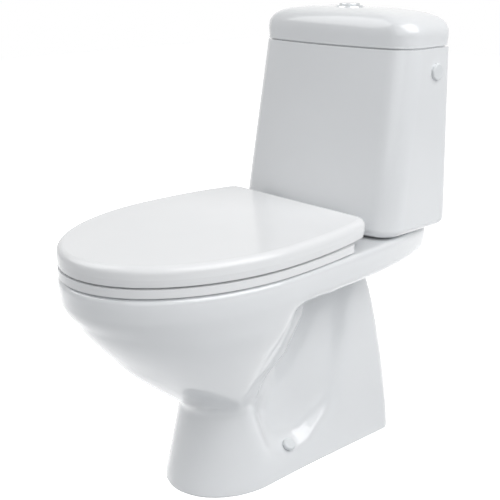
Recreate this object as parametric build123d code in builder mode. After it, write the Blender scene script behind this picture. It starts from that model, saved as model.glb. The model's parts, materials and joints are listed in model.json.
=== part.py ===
from build123d import *
import math
import os

os.makedirs("parts", exist_ok=True)

# A close coupled toilet: a floor standing pan with a horizontal outlet, a cistern
# that stands on its deck, and a seat with a cover. Millimetres. X is to the right,
# Y to the wall behind, Z up from the floor. The origin is under the middle.

# ---------------------------------------------------------------- driving sizes
overall_length = 650.0  # front of the pan to the wall
front_y = -overall_length / 2
wall_y = overall_length / 2
pan_y = wall_y - 325.0  # line across the pan that its foot, trap and seat are placed from
running_gap = 0.3  # between faces that move past each other
pin_fit = 0.06  # radial room of a pin in its eye

# pan
pan_width = 360.0
rim_height = 400.0
china = 12.0  # wall of the glazed ware
widest_y = pan_y - 59.0  # widest place of the rim
deck_end = 10.0  # deck to wall
deck_width = pan_width - 74.0
deck_plate = 16.0
band_height = 54.0  # depth of the rim and deck
rim_lip = 14.0  # thickness of the inner lip of the rim
rim_mouth_half = pan_width / 2 - 66.0  # half width of the mouth of the bowl
rim_mouth_front_y = front_y + 59.0
rim_mouth_rear_y = pan_y + 58.0
rim_channel = 40.0  # height of the flushing channel above the band
rim_edge = 6.0
rim_rear_corner = 24.0
rim_draw = 3.7  # how late the sides of the rim draw in to the deck
band_inset = 5.0  # the lower edge of the band lies in from the rim
recess_corner = 16.0
foot_front_width = 196.0
foot_rear_width = 220.0
foot_front_y = pan_y - 149.0
foot_rear_y = pan_y + 286.0
outlet_height = 180.0
outlet_end_y = pan_y + 296.0
spigot_radius = 51.0
trap_radius = 55.0  # outside of the rising limb
trap_bore = 42.0
trap_bend = 56.0
heel_radius = 16.0  # lower rear corner of each side of the foot
ware_joint_level = rim_height - 205.0  # bowl on foot
ware_joint_y = pan_y + 100.0  # front of the foot to its sides

# seat and cover
seat_height = rim_height + 27.0  # top of the crown of the ring
skirt_level = rim_height + 2.5  # lower edge of the ring
seat_width = pan_width - 1.4
seat_inset = 1.5  # rim to seat at the front
seat_skirt = 8.0
ring_hollow = 8.5
ring_rebate = 9.0  # step that the skirt of the cover comes down on
ring_rear_width = seat_width - 22.6
ring_buffer_places = ((seat_width / 2 - 41.3, pan_y + 20.0), (seat_width / 2 - 61.3, front_y + 130.0))
ring_buffer_width = 14.0
ring_buffer_length = 34.0
cover_width = seat_width + 2.4
cover_buffer_radius = 6.0
cover_buffer_x = seat_width / 2 - 51.3
cover_buffer_y = front_y + 195.0
ring_edge_level = rim_height + 14.8
ring_corner = 14.0
ring_draw = 2.0
ring_mouth_half = seat_width / 2 - 71.3
ring_mouth_front_y = front_y + 71.0
ring_mouth_rear_y = pan_y + 46.0
ring_rear_y = pan_y + 94.0
cover_rear_y = pan_y + 136.0
cover_rear_width = cover_width - 51.0
cover_level = rim_height + 18.4  # lower edge of the cover
cover_top = rim_height + 47.0
cover_skin = 5.5
cover_shoulder = rim_height + 28.5  # level of the widest outline of the cover
cover_edge = 11.0
cover_corner = 25.0
cover_draw = 2.3
ring_crown = 7.0
hinge_y = pan_y + 117.0
hinge_height = rim_height + 24.0
hinge_spacing = 155.0
hinge_pin_radius = 4.0
hinge_eye_radius = 9.0
hinge_post_width = 16.0
hinge_eye_width = 18.0
hinge_stud_radius = 4.0
hinge_hole_radius = 7.0
hinge_recess_radius = 18.0
hinge_base = 2.5
hinge_base_radius = 14.0
hinge_stud_reach = 34.0

# cistern
cistern_gap = 3.0  # soft bed between deck and cistern
cistern_bottom_width = 350.0
cistern_seam_width = cistern_bottom_width - 24.0
cistern_front_y = wall_y - 181.0  # at the foot of the cistern, on the centre line
cistern_seam_front_y = wall_y - 137.0
cistern_bulge = 20.0  # how far the front face bows out
cistern_wall = 9.0
cistern_height = 300.0
seam_height = rim_height + cistern_gap + cistern_height
lid_rise = 59.5
lid_wall = 9.0
cistern_corner = 44.0
cistern_rear_corner = 16.0
cistern_foot_edge = 14.0
back_trim = 1.0  # cut off the back of the cistern so that it lies flat on the wall
lid_lip = 6.0
lid_lip_depth = 8.0
lid_lip_gap = 1.5
lid_boss = 3.0
lid_shadow_gap = 2.4  # groove round the foot of the lid
lid_shadow_depth = 5.0

# openings of the cistern
flush_y = wall_y - 90.0
flush_hole_radius = 32.0
coupling_spacing = 156.0
coupling_y = wall_y - 110.0
coupling_bolt_radius = 4.0
coupling_hole_radius = 6.0
inlet_y = wall_y - 42.0
inlet_drop = 38.0  # from the seam of the lid to the inlet
inlet_height = seam_height - inlet_drop
inlet_hole_radius = 10.8
button_y = wall_y - 70.0

# push buttons in the lid
bezel_radius = 23.5
bezel_seat = 2.5  # depth of the seat in the top of the lid
bezel_rise = 4.5
bezel_sleeve_radius = 19.7
bezel_sleeve_depth = 28.0
bezel_bore = 17.6
button_travel = 6.0
button_proud = 3.5
button_split = -3.0  # where the gap between full and half flush lies
button_socket = 6.0
button_skirt = 6.0
button_edge = 1.4
bezel_nut_radius = 28.7
full_rod_x = 7.0
half_rod_x = -10.0
rod_radius = 2.5
bezel_nut_depth = 9.0

# flush valve
gasket = 3.0
valve_flange = 5.0
valve_flange_radius = 43.0
valve_tail_radius = 29.5
valve_tail_level = rim_height - 21.0
valve_bore = 25.0
cage_radius = 38.0
cage_wall = 3.0
cage_window = 140.0
head_level = seam_height - 103.0
head_height = 40.0
head_plate = 3.0
head_edge = 2.0
valve_seat_rise = 4.0
valve_seat_wall = 3.0
seal_depth = 4.0
plunger_radius = 15.0
overflow_level = head_level + 12.0
backnut_radius = 40.0
backnut_depth = 11.0

# coupling of the cistern to the pan
bolt_head_radius = 11.0
bolt_head_height = 5.0
coupling_bolt_length = 62.0
steel_washer = 1.6
wing_hub_radius = 9.0
wing_span = 34.0
wing_nut_height = 12.0
bed_spacing = 230.0
bed_width = 28.0
bed_length = 100.0
wing_thickness = 4.0
washer_margin = 3.0
slot_width = 2.0

# water inlet and fill valve
inlet_tail_radius = 10.2
inlet_tail_length = 19.0
inlet_bore = 5.0
inlet_relief = 1.5
inlet_nut = 6.5
inlet_nut_flats = 32.0
plug_cap_radius = 13.5
plug_cap = 5.0
plug_edge = 2.5
gasket_margin = 2.0
tail_chamfer = 1.2
column_offset = 43.0
column_radius = 11.0
column_foot = inlet_height - 125.0
column_top = seam_height - 15.0
pivot_offset = 17.0
pivot_level = inlet_height + 7.0
arm_length = 36.0
arm_swing = 23.0  # degrees
arm_half = 3.0
arm_pin_radius = 1.5
ear = 3.0
float_radius = 20.0
float_level = inlet_height - 80.0
float_height = 50.0
float_wall = 3.0
float_slot = 8.0
branch_radius = 13.0
tail_flange = 4.0

# floor fixing
fixing_x = 90.0
fixing_y = pan_y + 26.0
fixing_height = 51.6
fixing_tilt = 33.0  # degrees from upright
fixing_boss_radius = 15.0
fixing_boss_depth = 14.0
fixing_hole_radius = 7.0
fixing_screw_radius = 4.0
fixing_cap_radius = 11.0
fixing_cap_height = 5.0
fixing_flange = 1.5

# ---------------------------------------------------------------- derived sizes
pan_half = pan_width / 2
deck_half = deck_width / 2
deck_rear_y = wall_y - deck_end
band_level = rim_height - band_height
plate_level = rim_height - deck_plate
cistern_level = rim_height + cistern_gap
lid_top = seam_height + lid_rise


def egg(level, half_width, front, widest, rear, rear_half, corner, draw_in):
    """Plan outline: half an ellipse in front, sides that draw in to a straight rear."""
    with BuildSketch(Plane.XY.offset(level)) as outline:
        with BuildLine():
            nose = EllipticalCenterArc(
                (0, widest), half_width, widest - front, start_angle=180, arc_size=180
            )
            narrowing = (half_width - rear_half) * draw_in
            run = rear - widest
            right = Spline(
                nose @ 1, (rear_half, rear), tangents=[(0, 1), (-narrowing, run)]
            )
            left = Spline(
                (-rear_half, rear), nose @ 0, tangents=[(-narrowing, -run), (0, -1)]
            )
            Line(right @ 1, left @ 0)
        make_face()
        fillet(outline.vertices().group_by(Axis.Y)[-1], corner)
    return outline.sketch


def rim_outline(level, inset):
    """Outline of the rim and deck, drawn in by an inset."""
    return egg(
        level,
        pan_half - inset,
        front_y + inset,
        widest_y,
        deck_rear_y - inset,
        deck_half - inset,
        rim_rear_corner,
        rim_draw,
    )


# ---------------------------------------------------------------- forms of the pan
# Each level of a form: drop below the band, half width, front, widest place, rear,
# half width at the rear, rear corner.
bowl_levels = (
    (0, pan_half - 8, front_y + 14, pan_y - 64, pan_y + 120, 100, 60),
    (40, pan_half - 16, front_y + 39, pan_y - 68, pan_y + 110, 90, 60),
    (90, pan_half - 41, front_y + 83, pan_y - 72, pan_y + 90, 80, 50),
    (140, pan_half - 63, front_y + 134, pan_y - 60, pan_y + 70, 70, 45),
    (200, foot_front_width / 2 - china, pan_y - 105, pan_y - 30, pan_y + 50, 50, 35),
)
bowl_draw = 2.0
cavity_levels = (
    (-6, pan_half - 26, front_y + 28, pan_y - 100, pan_y + 86, 75, 50),
    (65, pan_half - 55, front_y + 75, pan_y - 95, pan_y + 42, 60, 45),
    (146, pan_half - 96, front_y + 149, pan_y - 70, pan_y + 22, 40, 32),
    (210, 52, pan_y - 100, pan_y - 45, pan_y + 15, 26, 22),
    (262, 34, pan_y - 62, pan_y - 30, pan_y + 6, 18, 14),
)
cavity_draw = 1.6
# Each level of the foot: height, loss of half width in front, front, widest place, rear,
# loss of half width at the rear.
foot_levels = (
    (0, 0, foot_front_y, pan_y - 28, foot_rear_y, 0),
    (178, 1, foot_front_y + 45, pan_y + 17, foot_rear_y - 30, 5),
    (band_level + 5, 2, foot_front_y + 75, pan_y + 40, foot_rear_y - 67, 25),
)
foot_corner = 18.0
neck_blend = 15.0


def cavity_outline(entry, grow, drop_more=0.0):
    """Outline of the inside of the bowl at one entry of its levels, grown by an amount."""
    drop, half, front, widest, rear, rear_half, corner = entry
    return egg(
        band_level - drop - drop_more,
        half + grow,
        front - grow,
        widest,
        rear + grow,
        rear_half + grow,
        corner + grow,
        cavity_draw,
    )


def foot_outlines(inset, rear_extra, lower):
    """Outlines of the foot at its levels, drawn in by an inset."""
    return [
        egg(
            level - (lower if level == 0 else 0),
            foot_front_width / 2 - inset - loss,
            front + inset,
            widest,
            rear + rear_extra,
            foot_rear_width / 2 - inset - rear_loss,
            foot_corner,
            1.0,
        )
        for level, loss, front, widest, rear, rear_loss in foot_levels
    ]


def lies_on_neck(edge):
    """Whether an edge is part of the line where the bowl meets the foot."""
    low = edge.bounding_box().min.Z
    tall = edge.bounding_box().size.Z
    return 0 < low < band_level - 40 and tall < 120


with BuildPart() as bowl_form:
    loft(
        [
            egg(band_level - drop, half, front, widest, rear, rear_half, corner, bowl_draw)
            for drop, half, front, widest, rear, rear_half, corner in bowl_levels
        ]
    )

with BuildPart() as cavity_form:
    loft([cavity_outline(entry, 0) for entry in cavity_levels])

# the ware round the cavity, seen from the side in the recess
with BuildPart() as vessel_form:
    loft(
        [cavity_outline(entry, china) for entry in cavity_levels[:-1]]
        + [cavity_outline(cavity_levels[-1], china, china)]
    )

# the bowl and the foot, blended round the neck
with BuildPart() as lower_form:
    loft(foot_outlines(0, 0, 0))
    add(bowl_form.part)
    neck = [edge for edge in lower_form.edges() if lies_on_neck(edge)]
    fillet(neck, neck_blend)


def recess_outline(distance, points, grow):
    """Outline of the side recess in a plane across X, grown by an amount."""
    with BuildSketch(Plane.YZ.offset(distance)) as outline:
        with BuildLine():
            Polyline(*[(pan_y + y, z) for y, z in points], close=True)
        make_face()
        fillet(outline.vertices(), recess_corner)
        if grow:
            offset(amount=grow)
    return outline.sketch



recess_top = band_level
recess_outer = ((-46, recess_top), (-84, 170), (-28, 48), (62, 42), (128, 100), (184, recess_top))
recess_inner = ((25, recess_top), (-8, 170), (16, 96), (66, 86), (108, 125), (160, recess_top))
recess_brow = 100.0  # distance from the middle at which the recess starts to draw in
recess_floor = 30.0


def recess_form(grow):
    """The hollow in the right side of the foot, straight at the skin and drawn in behind."""
    with BuildPart() as form:
        loft(
            [
                recess_outline(recess_floor - grow, recess_inner, grow),
                recess_outline(recess_brow, recess_outer, grow),
            ],
            ruled=True,
        )
        extrude(recess_outline(recess_brow, recess_outer, grow), amount=pan_half)
    return form.part


right_recess = recess_form(0)
right_recess_ware = recess_form(china)

sump_point = (0, pan_y - 60, band_level - 218)
dip_point = (0, pan_y + 37, 62)
weir_point = (0, pan_y + 167, outlet_height + 60)
fall_point = (0, pan_y + 219, outlet_height + 12.7)
outlet_point = (0, pan_y + 233, outlet_height)
spigot_point = (0, outlet_end_y, outlet_height)


def trapway(radius, points):
    """A round passage through some points, with bends between them."""
    with BuildPart() as passage:
        with BuildLine() as path:
            FilletPolyline(*points, radius=trap_bend)
        with BuildSketch(Plane(path.wires()[0] @ 0, z_dir=path.wires()[0] % 0)):
            Circle(radius)
        sweep(path=path.wires()[0])
    return passage.part


# the lower rear corner of each side is rounded, tangent to the floor and the sloping edge
heel_slope = (foot_levels[0][4] - foot_levels[1][4]) / foot_levels[1][0]
heel_centre = (
    foot_rear_y - heel_radius * (heel_slope + math.hypot(1, heel_slope)),
    heel_radius,
)
with BuildPart() as heel_cut:
    with BuildSketch(Plane.YZ.offset(-foot_rear_width)):
        with Locations((heel_centre[0], 0)):
            Rectangle(2 * heel_radius, heel_radius, align=(Align.MIN, Align.MIN))
        with Locations(heel_centre):
            Circle(heel_radius, mode=Mode.SUBTRACT)
    extrude(amount=2 * foot_rear_width)

trap_line = (sump_point, dip_point, weir_point, outlet_point, spigot_point)
rising_ware = trapway(trap_radius, (sump_point, dip_point, weir_point, fall_point))
spigot_ware = trapway(spigot_radius, trap_line)
trap_passage = trapway(trap_bore, trap_line)

# the deck is a plate with a skirt, hollow below
deck_hollow_front_y = pan_y + 160.0
deck_hollow_rear_y = deck_rear_y - 15
deck_skirt = 18.0
duct_corner = 25.0
duct_width = 76.0
duct_height = 28.0
duct_level = plate_level - duct_height - china
inlet_recess_depth = 14.0
inlet_recess_radius = 45.0
inlet_bore_radius = 31.5
duct_front_y = pan_y + 76.0
duct_rear_y = flush_y + inlet_bore_radius

with BuildPart() as duct_ware:
    with Locations((0, (duct_front_y + duct_rear_y + china) / 2, duct_level - china)):
        Box(
            duct_width + 2 * china,
            duct_rear_y + china - duct_front_y,
            plate_level + 2 - duct_level + china,
            align=(Align.CENTER, Align.CENTER, Align.MIN),
        )
    fillet(duct_ware.edges().filter_by(Axis.Z).group_by(Axis.Y)[-1], duct_corner)

with BuildPart() as foot_hollow:
    loft(foot_outlines(china, 60, 5))
    with BuildSketch(Plane.XY.offset(band_level - 1)):
        with Locations((0, (deck_hollow_front_y + deck_hollow_rear_y) / 2)):
            RectangleRounded(
                deck_width - 2 * deck_skirt, deck_hollow_rear_y - deck_hollow_front_y, deck_skirt
            )
    extrude(amount=plate_level - band_level + 1)
    add(vessel_form.part, mode=Mode.SUBTRACT)
    add(rising_ware, mode=Mode.SUBTRACT)
    add(spigot_ware, mode=Mode.SUBTRACT)
    add(duct_ware.part, mode=Mode.SUBTRACT)
    add(right_recess_ware, mode=Mode.SUBTRACT)
    add(mirror(right_recess_ware, about=Plane.YZ), mode=Mode.SUBTRACT)


def rim_opening(level, grow):
    """Outline of the mouth of the bowl, grown by an amount."""
    return egg(
        level,
        rim_mouth_half + grow,
        rim_mouth_front_y - grow,
        pan_y - 105,
        rim_mouth_rear_y + grow,
        50 + grow,
        36 + grow,
        cavity_draw,
    )


def fixing_plane(side):
    """Plane of a floor fixing: on the lower slope of a recess, facing up and outwards."""
    lean = math.radians(fixing_tilt)
    return Plane(
        origin=(side * fixing_x, fixing_y, fixing_height),
        x_dir=(0, 1, 0),
        z_dir=(side * math.sin(lean), 0, math.cos(lean)),
    )


with BuildPart() as ware:
    loft(
        [
            rim_outline(band_level, band_inset),
            rim_outline(band_level + band_height / 2, 0.8),
            rim_outline(rim_height, 0),
        ]
    )
    fillet(ware.edges().group_by(Axis.Z)[-1], rim_edge)
    add(lower_form.part)
    add(right_recess, mode=Mode.SUBTRACT)
    add(mirror(right_recess, about=Plane.YZ), mode=Mode.SUBTRACT)
    add(vessel_form.part)
    add(rising_ware)
    add(spigot_ware)
    add(foot_hollow.part, mode=Mode.SUBTRACT)
    add(heel_cut.part, mode=Mode.SUBTRACT)
    add(duct_ware.part)
    add(cavity_form.part, mode=Mode.SUBTRACT)
    add(trap_passage, mode=Mode.SUBTRACT)
    # mouth of the bowl and the channel round it, open below
    extrude(rim_opening(band_level, 0), amount=band_height, mode=Mode.SUBTRACT)
    with BuildSketch(Plane.XY.offset(band_level)):
        add(cavity_outline(cavity_levels[0], 0, cavity_levels[0][0] * -1))
        add(rim_opening(band_level, rim_lip), mode=Mode.SUBTRACT)
    extrude(amount=rim_channel, mode=Mode.SUBTRACT)
    # flushing duct from the inlet to the channel
    with Locations((0, (duct_front_y + duct_rear_y) / 2, duct_level)):
        Box(
            duct_width,
            duct_rear_y - duct_front_y,
            duct_height,
            align=(Align.CENTER, Align.CENTER, Align.MIN),
            mode=Mode.SUBTRACT,
        )
    with Locations(Plane.XY.offset(rim_height)):
        with Locations((0, flush_y)):
            CounterBoreHole(
                inlet_bore_radius, inlet_recess_radius, inlet_recess_depth, rim_height - duct_level
            )
        with Locations((-coupling_spacing / 2, coupling_y), (coupling_spacing / 2, coupling_y)):
            Hole(coupling_hole_radius, band_height)
        with Locations((-hinge_spacing / 2, hinge_y), (hinge_spacing / 2, hinge_y)):
            Hole(hinge_hole_radius, band_height)
    with Locations(
        (-hinge_spacing / 2, hinge_y, band_level - 4), (hinge_spacing / 2, hinge_y, band_level - 4)
    ):
        Cylinder(
            hinge_recess_radius,
            plate_level - band_level + 4,
            align=(Align.CENTER, Align.CENTER, Align.MIN),
            mode=Mode.SUBTRACT,
        )
    # floor fixings
    for side in (-1, 1):
        with Locations(fixing_plane(side)):
            Cylinder(
                fixing_boss_radius,
                fixing_boss_depth,
                align=(Align.CENTER, Align.CENTER, Align.MAX),
            )
            Cylinder(
                fixing_boss_radius,
                fixing_boss_depth,
                align=(Align.CENTER, Align.CENTER, Align.MIN),
                mode=Mode.SUBTRACT,
            )
            Hole(fixing_hole_radius, 2 * fixing_boss_depth)


def halves(solid, plane):
    """The two parts of a solid, below a plane and above it."""
    return [split(solid, bisect_by=plane, keep=side) for side in (Keep.BOTTOM, Keep.TOP)]


# the ware is cast in pieces that are stuck together before firing: the rim with its
# deck, the bowl, the front of the foot, the two sides of the foot, and the trapway
trap_ware = rising_ware + spigot_ware
lower_ware, rim_ware = halves(ware.part, Plane.XY.offset(band_level))
rear_ware, front_ware = halves(lower_ware, Plane.XZ.offset(-ware_joint_y))
foot_ware, bowl_ware = halves(front_ware, Plane.XY.offset(ware_joint_level))
left_ware, right_ware = halves(rear_ware - trap_ware, Plane.YZ)
for name, piece in (
    ("rim", rim_ware),
    ("pan", bowl_ware),
    ("foot_front", foot_ware),
    ("foot_left", left_ware),
    ("foot_right", right_ware),
    ("trapway", rear_ware & trap_ware),
):
    piece.label = name
    export_step(piece, f"parts/{name}.step")

# ---------------------------------------------------------------- cistern
cistern_half = cistern_bottom_width / 2
seam_half = cistern_seam_width / 2
cistern_floor = cistern_level + china


def blend(low, high, share):
    """A value part of the way from one to another."""
    return low + (high - low) * share


def tank_outline(level, half_width, front, rear, bow, corner, rear_corner):
    """Plan outline with a bowed front, straight sides and a straight rear."""
    with BuildSketch(Plane.XY.offset(level)) as outline:
        with BuildLine():
            face = ThreePointArc(
                (-half_width, front + bow), (0, front), (half_width, front + bow)
            )
            Polyline(face @ 1, (half_width, rear), (-half_width, rear), face @ 0)
        make_face()
        fillet(outline.vertices().group_by(Axis.Y)[-1], rear_corner)
        fillet(outline.vertices().group_by(Axis.Y)[0], corner)
    return outline.sketch


def cistern_outline(level, inset):
    """Outline of the cistern at a level, drawn in by an inset."""
    share = (level - cistern_level) / (seam_height - cistern_level)
    return tank_outline(
        level,
        blend(cistern_half, seam_half, share) - inset,
        blend(cistern_front_y, cistern_seam_front_y, share) + inset,
        wall_y + (0 if inset else back_trim) - inset,
        cistern_bulge,
        cistern_corner - inset,
        cistern_rear_corner - inset / 2,
    )


def side_at(level):
    """Half width of the cistern at a level."""
    return blend(
        cistern_half, seam_half, (level - cistern_level) / (seam_height - cistern_level)
    )


side_lean = math.atan((cistern_half - seam_half) / (seam_height - cistern_level))


def inlet_plane(side):
    """Plane on the outer face of a side wall at the water inlet, Z outwards."""
    return Plane(
        origin=(side * side_at(inlet_height), inlet_y, inlet_height),
        x_dir=(0, side, 0),
        z_dir=(side * math.cos(side_lean), 0, math.sin(side_lean)),
    )


def pair(spacing, y):
    """Places of two like pieces, left and right of the middle."""
    return [(-spacing / 2, y), (spacing / 2, y)]


with BuildPart() as cistern:
    loft([cistern_outline(cistern_level, 0), cistern_outline(seam_height, 0)], ruled=True)
    fillet(cistern.edges().group_by(Axis.Z)[0], cistern_foot_edge)
    loft(
        [
            cistern_outline(cistern_floor, cistern_wall),
            cistern_outline(seam_height, cistern_wall),
        ],
        ruled=True,
        mode=Mode.SUBTRACT,
    )
    with Locations(Plane.XY.offset(cistern_floor)):
        with Locations((0, flush_y)):
            Hole(flush_hole_radius, china)
        with Locations(pair(coupling_spacing, coupling_y)):
            Hole(coupling_hole_radius, china)
    for side in (-1, 1):
        with Locations(inlet_plane(side)):
            Hole(inlet_hole_radius, 2 * china)
    with Locations((0, wall_y, cistern_level)):
        Box(
            cistern_bottom_width,
            2 * back_trim,
            seam_height,
            align=(Align.CENTER, Align.MIN, Align.MIN),
            mode=Mode.SUBTRACT,
        )
cistern.part.label = "cistern"
export_step(cistern.part, "parts/cistern.step")

# lid: a low dome whose rise follows the share of the half width
lid_shares = [math.sin(math.radians(turn)) for turn in (90, 86, 76, 62, 47, 32, 19)]
lid_centre_y = (cistern_seam_front_y + wall_y) / 2
lid_inner_top = lid_top - lid_wall


def lid_outline(share, inset):
    """Outline of the dome at a share of its width, with the rise of a flattened dome."""
    rise = (lid_rise - inset) * (1 - share**3) ** 0.21
    depth = (wall_y - cistern_seam_front_y) / 2 - inset
    return tank_outline(
        seam_height + rise,
        (seam_half - inset) * share,
        lid_centre_y - depth * share,
        lid_centre_y + depth * share,
        cistern_bulge * share,
        (cistern_corner - inset) * share,
        cistern_rear_corner * share - inset / 2 * share,
    )


with BuildPart() as cistern_lid:
    loft([lid_outline(share, 0) for share in lid_shares])
    loft([lid_outline(share, lid_wall) for share in lid_shares], mode=Mode.SUBTRACT)
    with BuildSketch(Plane.XY.offset(lid_inner_top - lid_boss)):
        with Locations((0, button_y)):
            Circle(bezel_nut_radius + 4)
    extrude(amount=2 * lid_boss)
    with BuildSketch(Plane.XY.offset(seam_height - lid_lip_depth)):
        add(cistern_outline(seam_height, cistern_wall + lid_lip_gap))
        add(cistern_outline(seam_height, cistern_wall + lid_lip_gap + lid_lip), mode=Mode.SUBTRACT)
    extrude(amount=lid_lip_depth + lid_lip)
    with BuildSketch(Plane.XY.offset(seam_height)):
        add(cistern_outline(seam_height, lid_wall / 2))
        add(cistern_outline(seam_height, cistern_wall + lid_lip_gap + lid_lip), mode=Mode.SUBTRACT)
    extrude(amount=lid_lip)
    with BuildSketch(Plane.XY.offset(seam_height)):
        add(cistern_outline(seam_height, -back_trim))
        add(cistern_outline(seam_height, lid_shadow_depth), mode=Mode.SUBTRACT)
    extrude(amount=lid_shadow_gap, mode=Mode.SUBTRACT)
    with Locations((0, button_y, lid_top)):
        CounterBoreHole(
            bezel_sleeve_radius + running_gap, bezel_radius + running_gap, bezel_seat, lid_rise
        )
cistern_lid.part.label = "cistern_lid"
export_step(cistern_lid.part, "parts/cistern_lid.step")

# ---------------------------------------------------------------- buttons
bezel_floor = lid_top - bezel_seat
bezel_top = bezel_floor + bezel_rise
button_radius = bezel_bore - running_gap
button_top = bezel_top + button_proud
button_sole = bezel_floor - button_skirt
rod_top = button_sole - button_socket


def upright(x, y):
    """Upright plane through a place, for profiles that are turned about it."""
    return Plane(origin=(x, y, 0), x_dir=(1, 0, 0), z_dir=(0, -1, 0))


def upright_axis(x, y):
    """Upright axis through a place."""
    return Axis((x, y, 0), (0, 0, 1))


def ring_at(places, bottom, top, bore, radius):
    """Upright rings, or discs where the bore is nothing, at some places."""
    with BuildPart() as rings:
        with BuildSketch(Plane.XY.offset(bottom)):
            with Locations(places):
                Circle(radius)
                if bore:
                    Circle(bore, mode=Mode.SUBTRACT)
        extrude(amount=top - bottom)
    return rings.part


def save(piece, name):
    """Label a piece and write it."""
    piece.label = name
    export_step(piece, f"parts/{name}.step")


with BuildPart() as button_bezel:
    with BuildSketch(upright(0, button_y)):
        with BuildLine():
            Polyline(
                (bezel_radius - 3, bezel_top),
                (bezel_bore + 0.8, bezel_top),
                (bezel_bore, bezel_top - 1.6),
                (bezel_bore, bezel_floor - bezel_sleeve_depth),
                (bezel_sleeve_radius, bezel_floor - bezel_sleeve_depth),
                (bezel_sleeve_radius, bezel_floor),
                (bezel_radius, bezel_floor),
                (bezel_radius, bezel_floor + 2),
            )
            ThreePointArc(
                (bezel_radius, bezel_floor + 2),
                (bezel_radius - 1.0, bezel_top - 0.8),
                (bezel_radius - 3, bezel_top),
            )
        make_face()
    revolve(axis=upright_axis(0, button_y))
save(button_bezel.part, "button_bezel")

with BuildPart() as bezel_nut:
    with BuildSketch(Plane.XY.offset(lid_inner_top - lid_boss - bezel_nut_depth)):
        with Locations((0, button_y)):
            Circle(bezel_nut_radius)
            with PolarLocations(bezel_nut_radius, 12):
                Circle(1.6, mode=Mode.SUBTRACT)
            Circle(bezel_sleeve_radius + running_gap, mode=Mode.SUBTRACT)
    extrude(amount=bezel_nut_depth)
save(bezel_nut.part, "bezel_nut")


def button(side, share, name):
    """One part of the round button, cut off by a straight gap, with a socket for its rod."""
    with BuildPart() as cap:
        with BuildSketch(Plane.XY.offset(button_sole)):
            with Locations((0, button_y)):
                Circle(button_radius)
            with Locations((button_split - side * (button_radius - running_gap / 2), button_y)):
                Rectangle(2 * button_radius, 3 * button_radius, mode=Mode.SUBTRACT)
        extrude(amount=button_top - button_sole)
        fillet(cap.edges().group_by(Axis.Z)[-1], button_edge)
        with BuildSketch(Plane.XY.offset(rod_top)):
            with Locations((share, button_y)):
                Circle(rod_radius + 2)
        extrude(amount=button_socket)
    save(cap.part, name)


button(1, full_rod_x, "full_flush_button")
button(-1, half_rod_x, "half_flush_button")
rod_foot = overflow_level + button_travel + 2 * button_travel + 2
for x, name in ((full_rod_x, "full_flush_rod"), (half_rod_x, "half_flush_rod")):
    save(ring_at([(x, button_y)], rod_foot, rod_top, 0, rod_radius), name)

# ---------------------------------------------------------------- flush valve
valve_place = [(0, flush_y)]
valve_flange_level = cistern_floor + gasket
valve_flange_top = valve_flange_level + valve_flange
valve_seat_level = valve_flange_top + valve_seat_rise
plunger_foot = valve_seat_level + running_gap
head_top = head_level + head_height

save(
    ring_at(valve_place, cistern_floor, valve_flange_level, flush_hole_radius, valve_flange_radius),
    "flush_valve_gasket",
)

with BuildPart() as flush_valve_body:
    # threaded tail and flange
    with BuildSketch(Plane.XY.offset(valve_tail_level)):
        with Locations((0, flush_y)):
            Circle(valve_tail_radius)
    extrude(amount=valve_flange_level - valve_tail_level)
    with BuildSketch(Plane.XY.offset(valve_flange_level)):
        with Locations((0, flush_y)):
            Circle(valve_flange_radius)
    extrude(amount=valve_flange)
    # raised seat
    with BuildSketch(Plane.XY.offset(valve_flange_top)):
        with Locations((0, flush_y)):
            Circle(valve_bore + valve_seat_wall)
    extrude(amount=valve_seat_level - valve_flange_top)
    # cage with windows
    with BuildSketch(Plane.XY.offset(valve_flange_top)):
        with Locations((0, flush_y)):
            Circle(cage_radius)
            Circle(cage_radius - cage_wall, mode=Mode.SUBTRACT)
    extrude(amount=head_level - valve_flange_top)
    with Locations((0, flush_y, valve_flange_top + 10)):
        for turn in (0, 90):
            Box(
                3 * cage_radius,
                1.1 * cage_radius,
                cage_window,
                rotation=(0, 0, turn + 45),
                align=(Align.CENTER, Align.CENTER, Align.MIN),
                mode=Mode.SUBTRACT,
            )
    with Locations((0, flush_y, valve_tail_level)):
        Cylinder(
            valve_bore,
            valve_seat_level - valve_tail_level,
            align=(Align.CENTER, Align.CENTER, Align.MIN),
            mode=Mode.SUBTRACT,
        )
save(flush_valve_body.part, "flush_valve_body")

with BuildPart() as flush_valve_head:
    with BuildSketch(Plane.XY.offset(head_level)):
        with Locations((0, flush_y)):
            Circle(cage_radius)
    extrude(amount=head_height)
    fillet(flush_valve_head.edges().group_by(Axis.Z)[-1], head_edge)
    with BuildSketch(Plane.XY.offset(head_level)):
        with Locations((0, flush_y)):
            Circle(cage_radius - cage_wall)
    extrude(amount=head_height - head_plate, mode=Mode.SUBTRACT)
    # guide of the plunger
    with BuildSketch(Plane.XY.offset(head_level)):
        with Locations((0, flush_y)):
            Circle(cage_radius - cage_wall / 2)
            Circle(plunger_radius + running_gap, mode=Mode.SUBTRACT)
            with PolarLocations((cage_radius + plunger_radius) / 2 - 1, 6):
                Circle(6, mode=Mode.SUBTRACT)
    extrude(amount=head_plate)
    with Locations(Plane.XY.offset(head_top)):
        with Locations((full_rod_x, button_y), (half_rod_x, button_y)):
            Hole(rod_radius + 2 * running_gap, head_plate)
save(flush_valve_head.part, "flush_valve_head")

save(
    ring_at(
        valve_place,
        cistern_level - backnut_depth,
        cistern_level,
        valve_tail_radius + running_gap,
        backnut_radius,
    ),
    "flush_valve_backnut",
)

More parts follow.
